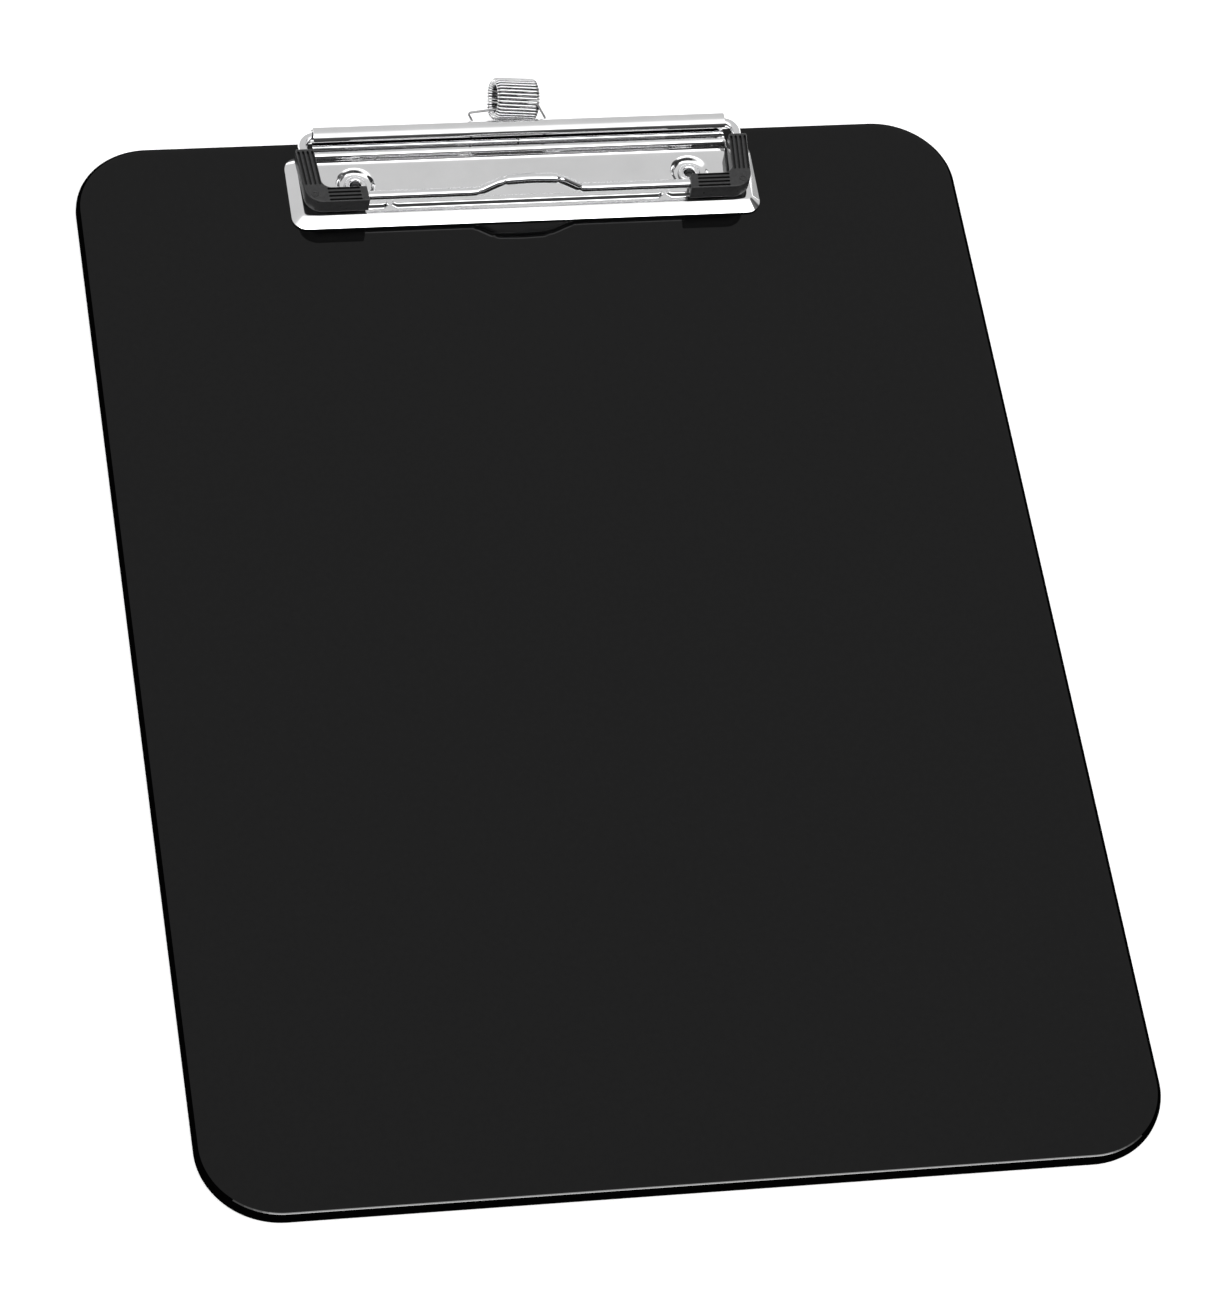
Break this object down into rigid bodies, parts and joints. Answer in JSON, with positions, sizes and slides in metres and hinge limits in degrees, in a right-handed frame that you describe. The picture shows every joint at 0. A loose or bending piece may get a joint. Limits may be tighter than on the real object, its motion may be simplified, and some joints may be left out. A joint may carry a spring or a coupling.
{
  "type": "clipboard",
  "caption": "Glossy black clipboard with a bright wire bail clip, plastic corner pads and a spring pen holder",
  "frame": {"origin": "centre of the board's underside", "axes": "+Y towards the edge that carries the clip, +Z out of the writing face, +X to the right of somebody who writes on it"},
  "size_m": [0.2338, 0.3266, 0.0176],
  "materials": {
    "board_plastic": "polished black",
    "nickel_plate": "bright nickel plate",
    "bail_steel": "bright plated spring wire",
    "pad_plastic": "satin moulded black",
    "spring_wire": "bright close-wound wire",
    "rivet_steel": "bright plated steel"
  },
  "bodies": {
    "board_and_plate": {"board": "board_plastic", "clip_plate": "nickel_plate", "rivet_left": "rivet_steel", "rivet_right": "rivet_steel", "rivet_washer_left": "rivet_steel", "rivet_washer_right": "rivet_steel"},
    "bail": {"bail_wire": "bail_steel", "corner_pad_left": "pad_plastic", "corner_pad_right": "pad_plastic"},
    "pen_holder": {"pen_holder_spring": "spring_wire"}
  },
  "joints": [
    {"name": "bail_hinge", "type": "hinge", "parent": "board_and_plate", "child": "bail", "pos_m": [0.0007, 0.1538, 0.011], "axis": [-1, 0, 0], "range_deg": [0, 100], "stiffness_Nm_per_rad": 0.1, "springref_deg": -85.94},
    {"name": "pen_holder_tilt", "type": "hinge", "parent": "board_and_plate", "child": "pen_holder", "pos_m": [0.0007, 0.15615, 0.011], "axis": [1, 0, 0], "range_deg": [-15, 30], "stiffness_Nm_per_rad": 0.05}
  ]
}
